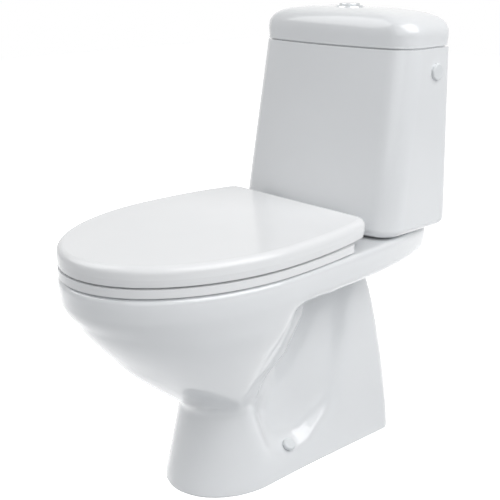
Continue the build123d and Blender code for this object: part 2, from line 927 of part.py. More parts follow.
seal_foot = plunger_foot + 2.5
seal_top = seal_foot + seal_depth
seal_bore = plunger_radius + 3
bell_radius = valve_bore + 6
with BuildPart() as flush_plunger:
    with BuildSketch(upright(0, flush_y)):
        with BuildLine():
            Polyline(
                (plunger_radius - 2, plunger_foot),
                (valve_bore + 1, plunger_foot),
                (valve_bore + 1, seal_foot),
                (seal_bore, seal_foot),
                (seal_bore, seal_top),
                (bell_radius - 2, seal_top),
                (bell_radius, seal_top + 8),
                (bell_radius, seal_top + 38),
                (plunger_radius, seal_top + 46),
                (plunger_radius, overflow_level),
                (plunger_radius - 2, overflow_level),
                close=True,
            )
        make_face()
    revolve(axis=upright_axis(0, flush_y))
save(flush_plunger.part, "flush_plunger")
save(ring_at(valve_place, seal_foot, seal_top, seal_bore, valve_bore + 5), "flush_seal")

# ---------------------------------------------------------------- coupling of cistern and pan
coupling_places = pair(coupling_spacing, coupling_y)
with BuildPart() as coupling_washer:
    with BuildSketch(upright(0, flush_y)):
        with BuildLine():
            Polyline(
                (inlet_bore_radius, rim_height - inlet_recess_depth),
                (inlet_recess_radius - 0.5, rim_height - inlet_recess_depth),
                (inlet_recess_radius - 0.5, cistern_level),
                (backnut_radius + running_gap, cistern_level),
                (backnut_radius + running_gap, cistern_level - backnut_depth - running_gap),
                (inlet_bore_radius, cistern_level - backnut_depth - running_gap),
                close=True,
            )
        make_face()
    revolve(axis=upright_axis(0, flush_y))
save(coupling_washer.part, "coupling_washer")

with BuildPart() as cistern_pads:
    with BuildSketch(Plane.XY.offset(rim_height)):
        with Locations(pair(bed_spacing, flush_y)):
            RectangleRounded(bed_width, bed_length, 8)
    extrude(amount=cistern_gap)
save(cistern_pads.part, "cistern_pads")

bolt_head_level = cistern_floor + gasket + 1
bolt_head_edge = 2.5
with BuildPart() as coupling_bolts:
    with BuildSketch(Plane.XY.offset(bolt_head_level)):
        with Locations(coupling_places):
            Circle(bolt_head_radius)
    extrude(amount=bolt_head_height)
    fillet(coupling_bolts.edges().group_by(Axis.Z)[-1], bolt_head_edge)
    with Locations(Plane.XY.offset(bolt_head_level + bolt_head_height)):
        with Locations(coupling_places):
            Box(
                3 * bolt_head_radius,
                slot_width,
                bolt_head_height / 2,
                align=(Align.CENTER, Align.CENTER, Align.MAX),
                mode=Mode.SUBTRACT,
            )
    with BuildSketch(Plane.XY.offset(bolt_head_level)):
        with Locations(coupling_places):
            Circle(coupling_bolt_radius)
    extrude(amount=-coupling_bolt_length)
save(coupling_bolts.part, "coupling_bolts")
save(
    ring_at(
        coupling_places,
        cistern_floor,
        bolt_head_level,
        coupling_bolt_radius + running_gap,
        bolt_head_radius + washer_margin,
    ),
    "bolt_seals",
)
save(
    ring_at(
        coupling_places,
        plate_level - gasket,
        plate_level,
        coupling_bolt_radius + running_gap,
        bolt_head_radius + washer_margin,
    ),
    "bolt_cushions",
)
save(
    ring_at(
        coupling_places,
        plate_level - gasket - steel_washer,
        plate_level - gasket,
        coupling_bolt_radius + running_gap,
        bolt_head_radius + washer_margin - 1,
    ),
    "bolt_washers",
)


def wing_nuts(places, top, bore):
    """Nuts with two wings, hung below a level."""
    with BuildPart() as nuts:
        with BuildSketch(Plane.XY.offset(top - wing_nut_height)):
            with Locations(places):
                Circle(wing_hub_radius)
        extrude(amount=wing_nut_height)
        with Locations(Plane.XY.offset(top)):
            with Locations(places):
                Box(
                    wing_span,
                    wing_thickness,
                    wing_nut_height,
                    align=(Align.CENTER, Align.CENTER, Align.MAX),
                )
        with BuildSketch(Plane.XY.offset(top)):
            with Locations(places):
                Circle(bore)
        extrude(amount=-wing_nut_height, mode=Mode.SUBTRACT)
    return nuts.part


save(
    wing_nuts(
        coupling_places,
        plate_level - gasket - steel_washer,
        coupling_bolt_radius + running_gap,
    ),
    "coupling_nuts",
)

# ---------------------------------------------------------------- water inlet
wall_inside = -cistern_wall * math.cos(side_lean)
gasket_inside = wall_inside - gasket


def hexagon_nut(plane, low, high, bore, flats):
    """A hexagon nut along Z of a plane, between two distances."""
    with BuildPart() as nut:
        with BuildSketch(plane.offset(low)):
            RegularPolygon(flats / 2, 6, major_radius=False)
            Circle(bore, mode=Mode.SUBTRACT)
        extrude(amount=high - low)
    return nut.part


def disc(plane, low, high, bore, radius):
    """A disc or ring along Z of a plane, between two distances."""
    with BuildPart() as ring:
        with BuildSketch(plane.offset(low)):
            Circle(radius)
            if bore:
                Circle(bore, mode=Mode.SUBTRACT)
        extrude(amount=high - low)
    return ring.part


plug_plane = inlet_plane(1)
valve_plane = inlet_plane(-1)
with BuildPart() as side_plug:
    with BuildSketch(plug_plane):
        Circle(plug_cap_radius)
    extrude(amount=plug_cap)
    fillet(side_plug.edges().filter_by(GeomType.CIRCLE).sort_by(Axis.X)[-1], plug_edge)
    with BuildSketch(plug_plane):
        Circle(inlet_tail_radius)
    extrude(amount=gasket_inside - inlet_nut - tail_flange)
save(side_plug.part, "side_plug")
save(
    disc(
        plug_plane,
        gasket_inside,
        wall_inside,
        inlet_tail_radius + running_gap,
        plug_cap_radius + gasket_margin,
    ),
    "side_plug_gasket",
)
save(
    hexagon_nut(
        plug_plane,
        gasket_inside - inlet_nut,
        gasket_inside,
        inlet_tail_radius + running_gap,
        inlet_nut_flats,
    ),
    "side_plug_nut",
)

save(
    disc(
        valve_plane,
        gasket_inside,
        wall_inside,
        inlet_tail_radius + running_gap,
        plug_cap_radius + gasket_margin,
    ),
    "fill_valve_gasket",
)
save(
    hexagon_nut(valve_plane, 0, inlet_nut, inlet_tail_radius + running_gap, inlet_nut_flats),
    "fill_valve_backnut",
)
with BuildPart() as fill_valve_tail:
    with BuildSketch(valve_plane.offset(gasket_inside)):
        Circle(inlet_tail_radius)
    extrude(amount=inlet_tail_length - gasket_inside)
    chamfer(fill_valve_tail.edges().filter_by(GeomType.CIRCLE).sort_by(Axis.X)[0], tail_chamfer)
    with BuildSketch(valve_plane.offset(gasket_inside)):
        Circle(plug_cap_radius + gasket_margin)
    extrude(amount=-tail_flange)
    # relief between the thread under the nut and the thread for the supply
    with BuildSketch(valve_plane.offset(inlet_nut)):
        Circle(inlet_tail_radius)
        Circle(inlet_tail_radius - 1, mode=Mode.SUBTRACT)
    extrude(amount=inlet_relief, mode=Mode.SUBTRACT)
    with BuildSketch(valve_plane.offset(inlet_tail_length)):
        Circle(inlet_bore)
    extrude(amount=-inlet_tail_length - 2 * china, mode=Mode.SUBTRACT)
save(fill_valve_tail.part, "fill_valve_tail")

column_x = -(side_at(inlet_height) - column_offset)
pivot_x = column_x + pivot_offset
arm_rest = math.radians(arm_swing / 2)
tip_x = pivot_x + arm_length
tip_level = pivot_level - arm_length * math.sin(arm_rest)
fork_half = arm_half + running_gap
with BuildPart() as fill_valve_body:
    with BuildSketch(valve_plane.offset(gasket_inside - tail_flange)):
        Circle(branch_radius)
    extrude(amount=-(column_offset + gasket_inside - tail_flange))
    with BuildSketch(Plane.XY.offset(column_foot)):
        with Locations((column_x, inlet_y)):
            Circle(column_radius)
    extrude(amount=column_top - column_foot)
    fillet(fill_valve_body.edges().group_by(Axis.Z)[-1], 3)
    # ears of the float arm
    for side in (-1, 1):
        with BuildSketch(Plane.XZ.offset(-inlet_y - side * (fork_half + ear / 2) - ear / 2)):
            with Locations((pivot_x - 8, pivot_level)):
                Rectangle(16, 12)
            with Locations((pivot_x, pivot_level)):
                Circle(6)
        extrude(amount=ear)
    with BuildSketch(Plane.XZ.offset(-inlet_y)):
        with Locations((pivot_x, pivot_level)):
            Circle(arm_pin_radius)
    extrude(amount=fork_half + ear, both=True)
save(fill_valve_body.part, "fill_valve_body")

arm_plane = Plane(
    origin=(pivot_x, inlet_y, pivot_level),
    x_dir=(math.cos(arm_rest), 0, -math.sin(arm_rest)),
    z_dir=(0, -1, 0),
)
with BuildPart() as float_arm:
    with BuildSketch(arm_plane):
        with Locations((arm_length / 2, 0)):
            Rectangle(arm_length, 6)
        Circle(4.5)
        with Locations((arm_length, 0)):
            Circle(4)
        Circle(arm_pin_radius + pin_fit, mode=Mode.SUBTRACT)
    extrude(amount=arm_half, both=True)
    with BuildSketch(arm_plane):
        with Locations((arm_length, 0)):
            Circle(arm_pin_radius)
    extrude(amount=fork_half + ear, both=True)
save(float_arm.part, "float_arm")

with BuildPart() as float_cup:
    with BuildSketch(Plane.XY.offset(float_level)):
        with Locations((tip_x, inlet_y)):
            Circle(float_radius)
    extrude(amount=float_height)
    fillet(float_cup.edges().filter_by(GeomType.CIRCLE), float_wall)
    with BuildSketch(Plane.XY.offset(float_level)):
        with Locations((tip_x, inlet_y)):
            Circle(float_radius - float_wall)
    extrude(amount=float_height - float_wall, mode=Mode.SUBTRACT)
    with BuildSketch(Plane.XY.offset(float_level + float_height - 1)):
        with Locations((tip_x, inlet_y)):
            Rectangle(12, 2 * (fork_half + ear))
    extrude(amount=tip_level + 6 - float_level - float_height + 1)
    with Locations((tip_x, inlet_y, tip_level - 6)):
        Box(
            14,
            2 * fork_half,
            20,
            align=(Align.CENTER, Align.CENTER, Align.MIN),
            mode=Mode.SUBTRACT,
        )
    with BuildSketch(Plane.XZ.offset(-inlet_y)):
        with Locations((tip_x, tip_level)):
            SlotOverall(float_slot, 2 * (arm_pin_radius + running_gap))
    extrude(amount=2 * fork_half + ear, both=True, mode=Mode.SUBTRACT)
save(float_cup.part, "float_cup")

# ---------------------------------------------------------------- floor fixings
with BuildPart() as floor_bushes:
    for side in (-1, 1):
        with BuildSketch(fixing_plane(side)):
            Circle(fixing_cap_radius)
        extrude(amount=fixing_flange)
        with BuildSketch(fixing_plane(side)):
            Circle(fixing_hole_radius - running_gap)
        extrude(amount=-fixing_boss_depth)
        with BuildSketch(fixing_plane(side).offset(fixing_flange)):
            Circle(fixing_screw_radius)
        extrude(amount=-fixing_boss_depth - fixing_flange, mode=Mode.SUBTRACT)
save(floor_bushes.part, "floor_bushes")

for side, name in ((-1, "left_floor_cap"), (1, "right_floor_cap")):
    with BuildPart() as floor_cap:
        with BuildSketch(fixing_plane(side).offset(fixing_flange)):
            Circle(fixing_cap_radius)
        extrude(amount=fixing_cap_height)
        fillet(floor_cap.edges().group_by(Axis.Z)[-1], fixing_cap_height * 0.7)
    save(floor_cap.part, name)

# ---------------------------------------------------------------- seat
def ring_outline(level, inset):
    """Outline of the seat ring, drawn in by an inset."""
    return egg(
        level,
        seat_width / 2 - inset,
        front_y + seat_inset + inset,
        widest_y,
        ring_rear_y - inset,
        ring_rear_width / 2 - inset,
        ring_corner + inset / 2,
        ring_draw,
    )


def ring_opening(level, grow):
    """Outline of the opening of the seat ring, grown by an amount."""
    return egg(
        level,
        ring_mouth_half + grow,
        ring_mouth_front_y - grow,
        pan_y - 100,
        ring_mouth_rear_y + grow,
        60 + grow,
        44 + grow,
        cavity_draw,
    )


def cover_outline(level, inset):
    """Outline of the cover, drawn in by an inset."""
    return egg(
        level,
        cover_width / 2 - inset,
        front_y + seat_inset + inset,
        widest_y,
        cover_rear_y - inset,
        cover_rear_width / 2 - inset,
        cover_corner,
        cover_draw,
    )


hinge_places = pair(hinge_spacing, hinge_y)
eye_offset = hinge_post_width / 2 + running_gap
eye_centre = eye_offset + hinge_eye_width / 2
eye_arm = hinge_y - ring_rear_y + 1.5 * ring_rebate  # hinge axis to its root in the ring


def hinge_axis_plane(x):
    """Plane across the hinge axis at a place along it, X to the wall, Y up."""
    return Plane(origin=(x, hinge_y, hinge_height), x_dir=(0, 1, 0), z_dir=(1, 0, 0))


with BuildPart() as seat_ring:
    extrude(ring_outline(skirt_level, 0), amount=ring_edge_level - skirt_level)
    extrude(ring_outline(ring_edge_level, ring_rebate), amount=seat_height - ring_edge_level)
    extrude(
        ring_opening(skirt_level, 0), amount=seat_height - skirt_level, mode=Mode.SUBTRACT
    )
    fillet(seat_ring.edges().group_by(Axis.Z)[-1], ring_crown)
    # hollow below, between the outer and the inner skirt
    with BuildSketch(Plane.XY.offset(skirt_level)):
        add(ring_outline(skirt_level, seat_skirt))
        add(ring_opening(skirt_level, seat_skirt), mode=Mode.SUBTRACT)
    extrude(amount=ring_hollow, mode=Mode.SUBTRACT)
    # eyes of the hinge, on the inner side of the posts
    for side in (-1, 1):
        inner = side * (hinge_spacing / 2 - eye_centre) - hinge_eye_width / 2
        with BuildSketch(hinge_axis_plane(inner)):
            Circle(hinge_eye_radius)
            with Locations((-eye_arm / 2, -3)):
                Rectangle(eye_arm, 2 * hinge_eye_radius - 6)
            Circle(hinge_pin_radius + pin_fit, mode=Mode.SUBTRACT)
        extrude(amount=hinge_eye_width)
save(seat_ring.part, "seat_ring")

with BuildPart() as cover_hollow:
    extrude(
        cover_outline(cover_level, cover_skin + 1.0), amount=cover_top - cover_skin - cover_level
    )
    fillet(cover_hollow.edges().group_by(Axis.Z)[-1], cover_edge - cover_skin / 2)

with BuildPart() as seat_cover:
    loft([cover_outline(cover_level, 1.0), cover_outline(cover_shoulder, 0)])
    extrude(cover_outline(cover_shoulder, 0), amount=cover_top - cover_shoulder)
    fillet(seat_cover.edges().group_by(Axis.Z)[-1], cover_edge)
    add(cover_hollow.part, mode=Mode.SUBTRACT)
    for side in (-1, 1):
        outer = side * (hinge_spacing / 2 + eye_centre) - hinge_eye_width / 2
        with BuildSketch(hinge_axis_plane(outer)):
            Circle(hinge_eye_radius)
            with Locations((0, (cover_top - cover_skin + 1 - hinge_height) / 2)):
                Rectangle(2 * hinge_eye_radius - 4, cover_top - cover_skin + 1 - hinge_height)
            Circle(hinge_pin_radius + pin_fit, mode=Mode.SUBTRACT)
        extrude(amount=hinge_eye_width)
    # notches that let the rear skirt swing past the posts
    with Locations(Plane.XY.offset(cover_level - 1)):
        with Locations(pair(hinge_spacing, cover_rear_y)):
            Box(
                2 * eye_offset + 2,
                4 * cover_skin,
                cover_top - cover_skin - cover_level - 3,
                align=(Align.CENTER, Align.CENTER, Align.MIN),
                mode=Mode.SUBTRACT,
            )
save(seat_cover.part, "seat_cover")

buffer_places = [(-x, y) for x, y in ring_buffer_places] + list(ring_buffer_places)
with BuildPart() as seat_buffers:
    with BuildSketch(Plane.XY.offset(rim_height + running_gap)):
        with Locations(buffer_places):
            RectangleRounded(ring_buffer_width, ring_buffer_length, 6)
    extrude(amount=skirt_level + ring_hollow - rim_height - running_gap)
save(seat_buffers.part, "seat_buffers")

lid_buffer_places = [(-cover_buffer_x, cover_buffer_y), (cover_buffer_x, cover_buffer_y)]
with BuildPart() as cover_buffers:
    with BuildSketch(Plane.XY.offset(seat_height + running_gap)):
        with Locations(lid_buffer_places):
            Circle(cover_buffer_radius)
    extrude(amount=cover_top - cover_skin - seat_height - running_gap)
save(cover_buffers.part, "cover_buffers")

# ---------------------------------------------------------------- hinges
cone_depth = 6.0
cone_rise = 8.0
with BuildPart() as hinge_posts:
    with BuildSketch(Plane.XY.offset(rim_height)):
        with Locations(hinge_places):
            Circle(hinge_base_radius)
    extrude(amount=hinge_base)
    for x, y in hinge_places:
        with BuildSketch(hinge_axis_plane(x - hinge_post_width / 2)):
            Circle(hinge_eye_radius)
            with Locations((0, (rim_height - hinge_height) / 2)):
                Rectangle(2 * hinge_eye_radius, hinge_height - rim_height)
            Circle(hinge_pin_radius + pin_fit, mode=Mode.SUBTRACT)
        extrude(amount=hinge_post_width)
save(hinge_posts.part, "hinge_posts")

with BuildPart() as hinge_pins:
    for x, y in hinge_places:
        with BuildSketch(hinge_axis_plane(x - eye_offset - hinge_eye_width)):
            Circle(hinge_pin_radius)
        extrude(amount=2 * (eye_offset + hinge_eye_width))
save(hinge_pins.part, "hinge_pins")

stud_foot = plate_level - hinge_stud_reach
save(ring_at(hinge_places, stud_foot, rim_height, 0, hinge_stud_radius), "hinge_studs")
with BuildPart() as hinge_cones:
    for x, y in hinge_places:
        with BuildSketch(upright(x, y)):
            with BuildLine():
                Polyline(
                    (hinge_stud_radius + running_gap, plate_level - cone_depth),
                    (hinge_recess_radius - 3, plate_level - cone_depth),
                    (hinge_recess_radius - 3, plate_level),
                    (hinge_hole_radius - running_gap, plate_level),
                    (hinge_hole_radius - 1.5, plate_level + cone_rise),
                    (hinge_stud_radius + running_gap, plate_level + cone_rise),
                    close=True,
                )
            make_face()
        revolve(axis=upright_axis(x, y))
save(hinge_cones.part, "hinge_cones")
save(
    wing_nuts(hinge_places, plate_level - cone_depth, hinge_stud_radius + running_gap),
    "hinge_nuts",
)
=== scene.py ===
"""A close coupled toilet in white vitreous china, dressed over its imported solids."""

import json
import math

import bmesh
import bpy
import numpy as np
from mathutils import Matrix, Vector


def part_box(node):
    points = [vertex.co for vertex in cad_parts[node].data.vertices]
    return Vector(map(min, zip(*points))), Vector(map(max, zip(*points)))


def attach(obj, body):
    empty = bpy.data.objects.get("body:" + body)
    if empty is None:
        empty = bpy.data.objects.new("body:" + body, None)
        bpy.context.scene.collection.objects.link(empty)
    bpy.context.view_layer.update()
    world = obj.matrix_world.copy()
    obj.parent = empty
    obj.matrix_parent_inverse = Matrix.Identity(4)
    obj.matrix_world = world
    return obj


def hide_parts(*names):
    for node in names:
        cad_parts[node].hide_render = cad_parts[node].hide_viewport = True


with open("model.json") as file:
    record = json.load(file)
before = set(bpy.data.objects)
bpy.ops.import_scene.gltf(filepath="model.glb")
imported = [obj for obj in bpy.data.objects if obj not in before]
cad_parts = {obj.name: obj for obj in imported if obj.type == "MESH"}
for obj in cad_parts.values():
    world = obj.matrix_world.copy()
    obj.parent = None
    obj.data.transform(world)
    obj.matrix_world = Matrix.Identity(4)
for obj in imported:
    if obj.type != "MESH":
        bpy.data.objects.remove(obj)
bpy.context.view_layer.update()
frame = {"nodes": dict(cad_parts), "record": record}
MM = 0.001

# ------------------------------------------------------------------ finishes


def linear(hex_colour):
    """An sRGB hex colour as linear shares, with an alpha of 1 behind them."""
    parts = [int(hex_colour[i : i + 2], 16) / 255 for i in (1, 3, 5)]
    bright = [((c + 0.055) / 1.055) ** 2.4 for c in parts]
    return [c / 12.92 if c <= 0.04045 else b for c, b in zip(parts, bright)] + [1]


def add_node(tree, kind, settings=None, **links):
    """Add a node, set its plain settings, then fill or link its sockets. A socket is given
    by its name, with _ for a space, or by its number, as i0 or i1."""
    node = tree.nodes.new(kind)
    for key, value in (settings or {}).items():
        setattr(node, key, value)
    for key, value in links.items():
        numbered = key[0] == "i" and key[1:].isdigit()
        socket = node.inputs[int(key[1:]) if numbered else key.replace("_", " ")]
        if isinstance(value, bpy.types.NodeSocket):
            tree.links.new(value, socket)
        else:
            socket.default_value = value
    return node


def new_material(name):
    """An empty material with a shader and an output: (material, tree, shader)."""
    material = bpy.data.materials.new(name)
    material.use_nodes = True
    tree = material.node_tree
    tree.nodes.clear()
    shader = add_node(tree, "ShaderNodeBsdfPrincipled")
    output = add_node(tree, "ShaderNodeOutputMaterial")
    tree.links.new(shader.outputs["BSDF"], output.inputs["Surface"])
    return material, tree, shader


def set_shader(shader, **values):
    for key, value in values.items():
        shader.inputs[key.replace("_", " ")].default_value = value


def noise_at(tree, place, scale, detail):
    """Noise of a scale per metre."""
    noise = add_node(
        tree,
        "ShaderNodeTexNoise",
        {"noise_dimensions": "3D"},
        Vector=place,
        Scale=scale,
        Detail=detail,
    )
    return noise.outputs["Fac"]


def mixed(tree, share, low, high):
    """A colour between two shades."""
    mix = add_node(
        tree, "ShaderNodeMix", {"data_type": "RGBA"}, i0=share, A=linear(low), B=linear(high)
    )
    return mix.outputs["Result"]


def tinted(tree, shader, low, high, scale, detail):
    """Colour that wanders between two shades by noise. Gives the place that it reads."""
    place = add_node(tree, "ShaderNodeTexCoord").outputs["Object"]
    colour = mixed(tree, noise_at(tree, place, scale, detail), low, high)
    tree.links.new(colour, shader.inputs["Base Color"])
    return place


def bumped(tree, shader, place, scale, detail, height, socket="Normal"):
    """Relief of noise, its height in metres."""
    noise = noise_at(tree, place, scale, detail)
    bump = add_node(tree, "ShaderNodeBump", None, Height=noise, Distance=height, Strength=1.0)
    tree.links.new(bump.outputs["Normal"], shader.inputs[socket])


def glazed_china():
    """Slip cast vitreous china under a fired glaze: a clear gloss coat over a milky body."""
    material, tree, shader = new_material("glazed_vitreous_china")
    set_shader(shader, Roughness=0.28, IOR=1.52)
    set_shader(shader, Coat_Weight=1.0, Coat_Roughness=0.05, Coat_IOR=1.52)
    place = tinted(tree, shader, "#e6e8ea", "#eaecee", scale=9, detail=2)
    # the glaze pools in waves about 40 mm long and a few hundredths of a millimetre high
    bumped(tree, shader, place, scale=24, detail=1, height=0.04 * MM, socket="Coat Normal")
    return material


def polished_duroplast():
    """Compression moulded urea resin, polished in the tool: smoother than the china."""
    material, tree, shader = new_material("moulded_duroplast")
    set_shader(shader, Roughness=0.16, IOR=1.54)
    tinted(tree, shader, "#f1f2f3", "#f4f5f6", scale=14, detail=1)
    return material


def chrome_plate():
    """Bright chrome over moulded ABS: a mirror with fine wipe marks."""
    material, tree, shader = new_material("chrome_plate")
    set_shader(shader, Metallic=1.0)
    place = tinted(tree, shader, "#c9cccf", "#d6d9db", scale=60, detail=2)
    marks = noise_at(tree, place, scale=220, detail=3)
    spread = add_node(tree, "ShaderNodeMapRange", None, Value=marks, To_Min=0.04, To_Max=0.14)
    tree.links.new(spread.outputs["Result"], shader.inputs["Roughness"])
    return material


def moulded_plastic(name, low, high, roughness):
    """Injection moulded plastic: an even colour with a spark eroded grain 0.4 mm wide."""
    material, tree, shader = new_material(name)
    set_shader(shader, Roughness=roughness, IOR=1.5)
    place = tinted(tree, shader, low, high, scale=50, detail=1)
    bumped(tree, shader, place, scale=2500, detail=2, height=0.01 * MM)
    return material


def turned_metal(name, low, high, roughness):
    """Turned metal: fine tool marks leave the gloss uneven."""
    material, tree, shader = new_material(name)
    set_shader(shader, Metallic=1.0, Roughness=roughness)
    place = tinted(tree, shader, low, high, scale=300, detail=3)
    bumped(tree, shader, place, scale=1800, detail=2, height=0.01 * MM)
    return material


def moulded_rubber():
    """Moulded EPDM: dull, nearly black, with a bloom of lighter grey."""
    material, tree, shader = new_material("moulded_rubber")
    set_shader(shader, Roughness=0.62, IOR=1.5)
    place = tinted(tree, shader, "#1c1c1d", "#2a2a2b", scale=120, detail=3)
    bumped(tree, shader, place, scale=1500, detail=2, height=0.03 * MM)
    return material


china = glazed_china()
finishes = {
    "vitreous_china": china,
    "duroplast": polished_duroplast(),
    "chrome": chrome_plate(),
    "stainless_steel": turned_metal("turned_stainless_steel", "#a9abad", "#b9bbbd", 0.32),
    "brass": turned_metal("turned_brass", "#b08d4a", "#c4a25c", 0.3),
    "black_rubber": moulded_rubber(),
    "soft_buffer": moulded_plastic("moulded_white_elastomer", "#dcdddd", "#e4e5e5", 0.55),
    "white_nylon": moulded_plastic("moulded_white_plastic", "#e3e6e8", "#e8ebec", 0.3),
    "valve_plastic": moulded_plastic("moulded_valve_plastic", "#c3c8cd", "#cdd2d6", 0.4),
    "float_blue": moulded_plastic("moulded_float_plastic", "#4f79ad", "#5a84b6", 0.45),
}
slots = {part["node"]: part["material_slot"] for part in frame["record"]["subparts"]}
for name, node in frame["nodes"].items():
    node.data.materials.clear()
    node.data.materials.append(finishes[slots[name]])

# ------------------------------------------------------------------ the glazed pan
ware_spacing = 0.0047  # between the corners of the skin's net
heel_radius = 0.016
heel_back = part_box("foot_right")[1][1]  # the rear end of the foot
below_floor = 0.014  # how far the solids reach under the floor before the skin is cut
on_floor = 0.0005  # corners lower than this stand on the floor
same_corner = 1e-6  # corners closer than this are one
band_level = 0.346  # where the band of the rim stands on the bowl
neck_level = 0.15  # where the bowl runs down into the front of the foot

pull = 0.5  # how far a round of smoothing draws a point towards its neighbours
even_rounds, even_back = 14, 0.92  # take the steps out of the net and keep the volume
soft_rounds = 22  # round the edges that the glaze softens
edge_rounds = 14  # then smooth all of that but the bowl's rear edge
last_rounds = 3  # and take the last sharpness off that edge


def ramp(value, start, end):
    """Smooth step from 0 at the start to 1 at the end."""
    share = np.clip((value - start) / (end - start), 0, 1)
    return share * share * (3 - 2 * share)


# The hollow in each side of the foot, in millimetres, as lines from its gorge to its outline.
# Each has a place on the outline and one in the gorge, as (y, z), the depth of the gorge, the
# share of the line that its flank takes up, the depth of the shelf beyond, and how much of
# that depth is left at the outline. Along the bowl both places are one, and the depth is past
# the trap's wall, so that the floor ends there.
hollow_lines = (
    ((104, 350), (104, 350), 200, 6, 0, 0),
    ((60, 255), (60, 255), 200, 6, 0, 0),
    ((16, 185), (16, 185), 200, 6, 0, 0),
    ((4, 150), (4, 150), 200, 6, 0, 0),
    ((4, 60), (4, 150), 56, 0.4, 36, 1),
    ((20, 43), (6, 150), 56, 0.4, 36, 1),
    ((62, 42), (6, 154), 60, 0.3, 38, 0.85),
    ((100, 70), (8, 161), 64, 0.27, 42, 0.6),
    ((132, 110), (16, 185), 74, 0.28, 42, 0.4),
    ((152, 160), (42, 225), 76, 0.3, 42, 0.3),
    ((168, 210), (62, 258), 76, 0.32, 42, 0.3),
    ((180, 270), (84, 300), 76, 0.36, 40, 0.3),
    ((186, 350), (104, 350), 74, 0.45, 36, 0.3),
    ((150, 350), (104, 350), 74, 0.6, 36, 0.3),
)
steps_a_line = 12  # rows of points from one line to the next
places_across = 28  # points along a line
past_outline = 1.04  # how far the floor runs on under the skin, as a share of its line
least_depth = 2  # of the shelf, and added to it everywhere
side_of_foot = ((40, 105), (160, 104), (260, 97), (350, 84))  # (height, how far out)
trap_wall = ((20, 48), (60, 27))  # (place along y, how far out)
# (height, place along y) of the bottom of the gorge
gorge_line = ((150, -8), (160, -3), (185, 16), (225, 42), (258, 62), (300, 84), (350, 104))
# The sharp rear edge of the bowl beside the gorge, from the deck down, in millimetres: the
# height, how far back and out the edge is, where its face begins, and how far out that is
bowl_edge = (
    (346, 34, 120, -46, 171),
    (306, 26, 118, -55, 161),
    (277, 16, 118, -61, 149),
    (241, -3, 110, -69, 131),
    (219, -30, 105, -74, 119),
    (191, -46, 96, -80, 104),
    (176, -44, 89, -83, 95),
    (160, -30, 78, -86, 84),
    (145, -10, 64, -88, 76),
)
edge_levels = (150, 343)  # the heights between which the edge is drawn
steepness = ((150, 0.2), (172, 1.6))  # (height, how far in for each 1 mm back)
face_inset = 0.5  # the face begins this much further in than its row says
most_in, most_out = 9, 14  # how far a point may be drawn, so that the wall stays whole
least_facing, least_side = 0.1, 42  # how far outward a drawn point must face and lie
edge_kept, edge_free = 3, 12  # beside the edge: kept as it is, and free to be smoothed
edge_fades = 168  # under this height the edge is smoothed too


def hollow_floor(side):
    """The floor of the hollow on one side, as (points, quads). The flank of the gorge rises
    along each line as a parabola to a shelf, and the shelf rises evenly towards the skin. The
    lump has this face outside and the trap's wall inside, and the two meet in the gorge."""
    lines = np.array([(*edge, *deep, *rest) for edge, deep, *rest in hollow_lines])
    lines = np.vstack([lines, lines[:1]]).astype(float)
    spans = len(lines) - 1
    steps = np.linspace(0, spans, steps_a_line * spans + 1)[:-1]
    row = [np.interp(steps, np.arange(len(lines)), column) for column in lines.T]
    row = np.stack(row, axis=1)
    along = np.linspace(0, past_outline, places_across)
    share = np.concatenate([along, along[::-1]])[None, :]
    inside = np.repeat([False, True], places_across)[None, :]
    edge, deep = row[:, None, 0:2], row[:, None, 2:4]
    place = deep + (edge - deep) * share[..., None]
    y, z = place[..., 0], place[..., 1]
    skin = np.interp(z, *np.array(side_of_foot).T)
    wall = np.interp(y, *np.array(trap_wall).T)
    depth, flank, shelf, kept = (row[:, None, column] for column in (4, 5, 6, 7))
    left = 1 - np.clip(share / flank, 0, 1)
    shelf = shelf * (1 - np.clip(share, 0, 1) * (1 - kept)) + least_depth
    sunk = shelf + (depth - shelf) * left**2
    x = np.where(inside, wall, np.maximum(skin - sunk, wall))
    points = np.stack([side * x, y, z], axis=-1) * MM
    rows, columns = x.shape
    index = np.arange(rows * columns).reshape(rows, columns)
    after = np.roll(index, -1, axis=0)
    quads = np.stack([index[:, :-1], index[:, 1:], after[:, 1:], after[:, :-1]], axis=-1)
    return points.reshape(-1, 3), quads.reshape(-1, 4)


def solids_as_one(names):
    """A copy of some solids and of both hollow floors as one mesh, with its corners merged.
    What stands on the floor is drawn down below it, so that the foot is cut clean later."""
    joined = bmesh.new()
    for name in names:
        joined.from_mesh(frame["nodes"][name].data)
    for side in (-1, 1):
        points, quads = hollow_floor(side)
        if side > 0:
            quads = quads[:, ::-1]
        floor_mesh = bpy.data.meshes.new("hollow_floor")
        floor_mesh.from_pydata(points, [], quads.tolist())
        joined.from_mesh(floor_mesh)
        bpy.data.meshes.remove(floor_mesh)
    bmesh.ops.remove_doubles(joined, verts=joined.verts, dist=same_corner)
    for corner in joined.verts:
        if corner.co.z < on_floor:
            corner.co.z = -below_floor
    mesh = bpy.data.meshes.new("ware")
    joined.to_mesh(mesh)
    joined.free()
    return mesh


def even_skin(mesh, spacing):
    """The outside of a mesh as an even net of quads: (points, quads)."""
    carrier = bpy.data.objects.new("ware_net", mesh)
    bpy.context.scene.collection.objects.link(carrier)
    net = carrier.modifiers.new("net", "REMESH")
    net.mode = "VOXEL"
    net.voxel_size = spacing
    net.adaptivity = 0.0
    skin = bpy.data.meshes.new_from_object(
        carrier.evaluated_get(bpy.context.evaluated_depsgraph_get())
    )
    points = np.empty(len(skin.vertices) * 3, np.float32)
    skin.vertices.foreach_get("co", points)
    quads = np.empty(len(skin.loops), np.int32)
    skin.loops.foreach_get("vertex_index", quads)
    bpy.data.objects.remove(carrier)
    return points.reshape(-1, 3).astype(float), quads.reshape(-1, 4)


